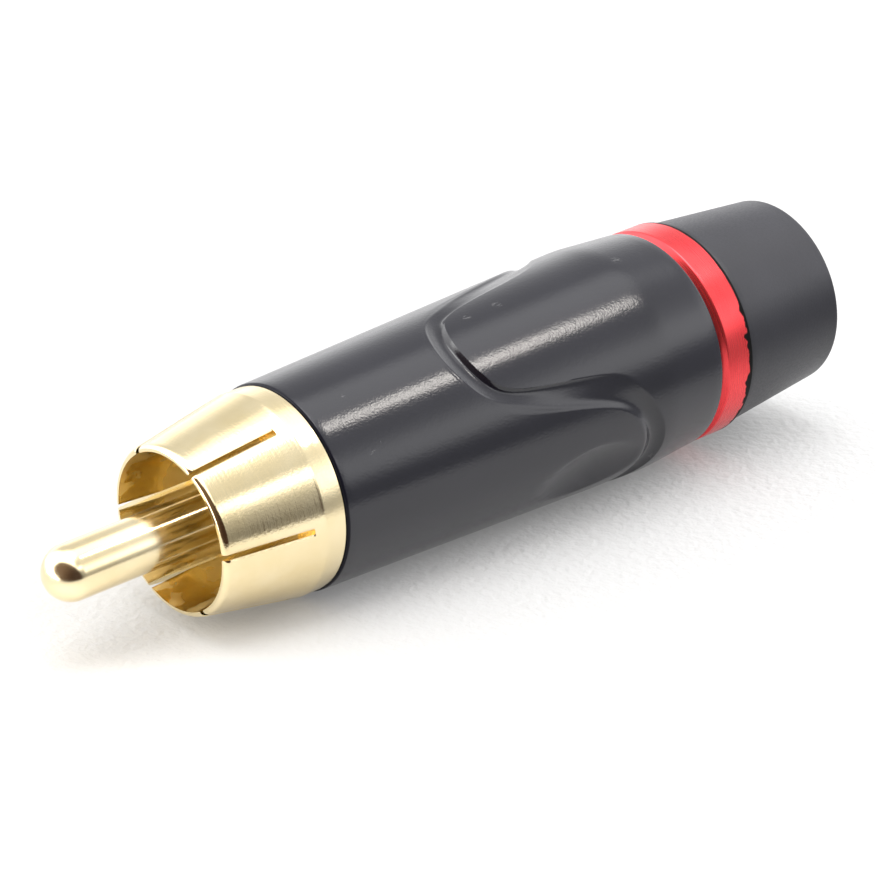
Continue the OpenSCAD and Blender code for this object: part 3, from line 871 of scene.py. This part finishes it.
def pale_paper(centre):
    paper = bpy.data.materials.new("pale_paper")
    paper.use_nodes = True
    paper.node_tree.nodes.clear()
    m = Nodes(paper.node_tree, "Object")
    geometry = m.node("ShaderNodeNewGeometry").outputs

    def faded(direction, reach):
        start = centre.dot(direction)
        place = m.dot(geometry["Position"], direction)
        return m.span(place, start + reach[0], start + reach[1], 0, 1, smooth=True)

    past = m.math("MAXIMUM", faded(right, FADE_RIGHT), faded(-ahead, FADE_FRONT))
    gone = m.math("MAXIMUM", geometry["Backfacing"], past)
    matte = m.node("ShaderNodeBsdfDiffuse")
    m.feed(matte.inputs["Color"], (TABLE_TONE, TABLE_TONE, TABLE_TONE, 1))
    m.feed(matte.inputs["Normal"], m.bump(m.noise(1900, 2, 0.5), 0.00014, 0.7))
    glow = m.node("ShaderNodeEmission")
    m.feed(glow.inputs["Strength"], TABLE_GLOW)
    sheet = m.node("ShaderNodeAddShader")
    m.feed(sheet.inputs[0], matte.outputs[0])
    m.feed(sheet.inputs[1], glow.outputs[0])
    blend = m.node("ShaderNodeMixShader")
    m.feed(blend.inputs[0], gone)
    m.feed(blend.inputs[1], sheet.outputs[0])
    m.feed(blend.inputs[2], m.node("ShaderNodeBsdfTransparent").outputs[0])
    m.feed(m.node("ShaderNodeOutputMaterial").inputs[0], blend.outputs[0])
    return paper


centre = on_table(MIDDLE)
turns = [2 * math.pi * k / TABLE_SIDES for k in range(TABLE_SIDES)]
rim = [tuple(centre + right * math.cos(a) * TABLE_R + ahead * math.sin(a) * TABLE_R) for a in turns]
mesh = bpy.data.meshes.new("table")
mesh.from_pydata(rim, [], [list(range(TABLE_SIDES))])
mesh.materials.append(pale_paper(centre))
table = bpy.data.objects.new("table", mesh)
bpy.context.scene.collection.objects.link(table)

# Studio surround: brightness by angle above the table, in degrees, on each side of the plug
PEAK = 7.0
LEFT_BANDS = ((-90, 1.2), (-8, 1.4), (4, 2.4), (40, 2.6), (68, 2.4), (78, 6.5), (90, 6.5))
FAR_BANDS = ((-90, 1.4), (-12, 1.4), (-3, 1.6), (8, 1.58), (17, 1.38), (24, 1.05), (31, 0.86), (38, 0.8),
             (54, 0.85), (58, 1.0), (63, 1.2), (75, 1.3), (80, 6.5), (90, 6.5))
RIGHT_BANDS = ((-90, 0.45), (-7, 0.42), (3, 0.45), (9, 0.95), (14, 1.75), (20, 1.9), (27, 1.8), (34, 1.18),
               (41, 0.88), (57, 0.9), (68, 0.95), (76, 1.0), (81, 6.5), (90, 6.5))
NEAR_BANDS = ((-90, 0.6), (-14, 0.5), (-6, 0.32), (2, 0.28), (9, 0.4), (17, 0.52), (24, 0.85), (29, 1.5),
              (33, 2.6), (38, 2.4), (42, 1.0), (47, 0.76), (62, 0.9), (76, 1.0), (81, 6.5), (90, 6.5))
world = bpy.data.worlds.new("studio")
bpy.context.scene.world = world
world.use_nodes = True
world.node_tree.nodes.clear()
sky = Nodes(world.node_tree, "Generated")


def facing(direction):
    """How far the surround lies toward a direction: 1 straight along it, -1 straight away from it."""
    return sky.dot(sky.place, direction)


def bands(stops):
    """Brightness by angle above the table."""
    climb = sky.math("MULTIPLY_ADD", facing(level), 0.5, 0.5)
    shares = [((math.sin(math.radians(deg)) + 1) / 2, [bright / PEAK] * 3) for deg, bright in stops]
    return sky.ramp(climb, shares)


def side(direction, start, end):
    """0 away from a direction and 1 toward it, with a soft change between two shares."""
    return sky.span(facing(direction), start, end, 0, 1, smooth=True)


def patch(turn, climb, core, edge):
    """1 within an angle of a direction and 0 beyond a wider angle, all in degrees."""
    climb = math.radians(climb)
    middle = bearing(turn) * math.cos(climb) + level * math.sin(climb)
    return side(middle, math.cos(math.radians(edge)), math.cos(math.radians(core)))


def grey(bright):
    return (bright / PEAK, bright / PEAK, bright / PEAK, 1)


left_side = bands(LEFT_BANDS)
on_right = side(right, 0.15, 0.5)
near_right = sky.math("MULTIPLY", on_right, side(bearing(204), -0.05, 0.09))
surround = sky.mix(side(ahead, 0.25, 0.6), left_side, bands(FAR_BANDS))
surround = sky.mix(on_right, surround, bands(RIGHT_BANDS))
surround = sky.mix(near_right, surround, bands(NEAR_BANDS))
surround = sky.mix(side(bearing(232), -0.08, 0.12), surround, left_side)
# a glow beside the lamp, and a window that the cup's mouth faces
surround = sky.mix(patch(turn=38, climb=62, core=4, edge=20), surround, grey(1.95))
surround = sky.mix(patch(turn=246, climb=12, core=26, edge=38), surround, grey(6.0))

# A broad dark oval round the camera's place, tipped to the right
SCREEN_TIP = math.radians(29)
SCREEN_W = math.sin(math.radians(67))
SCREEN_H = math.sin(math.radians(37))
SCREEN_LEFT = 0.03
SCREEN_DOWN = 0.09
SHADE_LEFT = (0.03, 0.02, 0.015, 1)
SHADE_RIGHT = (0.008, 0.0045, 0.0035, 1)
wide = right * math.cos(SCREEN_TIP) - up * math.sin(SCREEN_TIP)
tall = up * math.cos(SCREEN_TIP) + right * math.sin(SCREEN_TIP)
across = sky.math("DIVIDE", sky.math("ADD", facing(wide), SCREEN_LEFT), SCREEN_W)
above = sky.math("DIVIDE", sky.math("ADD", facing(tall), SCREEN_DOWN), SCREEN_H)
oval = sky.math("ADD", sky.math("MULTIPLY", across, across), sky.math("MULTIPLY", above, above))
screen = sky.math("MULTIPLY", sky.span(oval, 0.8, 1.15, 1, 0, smooth=True), side(-forward, 0.0, 0.2))
shade = sky.mix(sky.span(across, -0.7, 0.5, 0, 1, smooth=True), SHADE_LEFT, SHADE_RIGHT)
surround = sky.mix(screen, surround, shade)

# The surround lights the plug; behind it, the picture is plain white
light = sky.node("ShaderNodeBackground")
sky.feed(light.inputs["Color"], surround)
sky.feed(light.inputs["Strength"], PEAK)
plain = sky.node("ShaderNodeBackground")
sky.feed(plain.inputs["Color"], (1, 1, 1, 1))
blend = sky.node("ShaderNodeMixShader")
sky.feed(blend.inputs[0], sky.node("ShaderNodeLightPath").outputs["Is Camera Ray"])
sky.feed(blend.inputs[1], light.outputs[0])
sky.feed(blend.inputs[2], plain.outputs[0])
sky.feed(sky.node("ShaderNodeOutputWorld").inputs[0], blend.outputs[0])


# Lamps

def lamp(name, size, energy, place, toward, far, colour=(1, 1, 1), mirrored=True):
    """A round lamp that stands off from a place in a direction and shines on it."""
    lamp_data = bpy.data.lights.new(name, "AREA")
    lamp_data.shape = "DISK"
    lamp_data.size = size
    lamp_data.energy = energy
    lamp_data.color = colour
    obj = bpy.data.objects.new(name, lamp_data)
    bpy.context.scene.collection.objects.link(obj)
    toward = toward.normalized()
    obj.location = place + toward * far
    obj.rotation_euler = toward.to_track_quat("Z", "Y").to_euler()
    obj.visible_glossy = mirrored


# main lamp, in the direction that the streak on the sleeve gives
lamp("main_lamp", size=0.085, energy=0.22, place=MIDDLE, toward=Vector((0.548, -0.659, -0.515)), far=0.5,
     colour=(1.0, 0.95, 0.89))
# soft fill from behind on the right, which only lights the table and dull finishes
lamp("fill_lamp", size=0.12, energy=0.38, place=Vector((0, 0, 0.004)),
     toward=bearing(75) * 0.85 + level * 0.53, far=0.2, mirrored=False)
# warm light that the gold cup throws on the table under it
lamp("bounce_lamp", size=0.012, energy=0.0023, place=on_table(Vector((0, 0, 0.0455))),
     toward=level * 0.62 - ahead * 0.66 - right * 0.42, far=0.02, colour=(1.0, 0.9, 0.74), mirrored=False)

bpy.context.scene.view_settings.view_transform = "Standard"
bpy.context.scene.view_settings.look = "None"
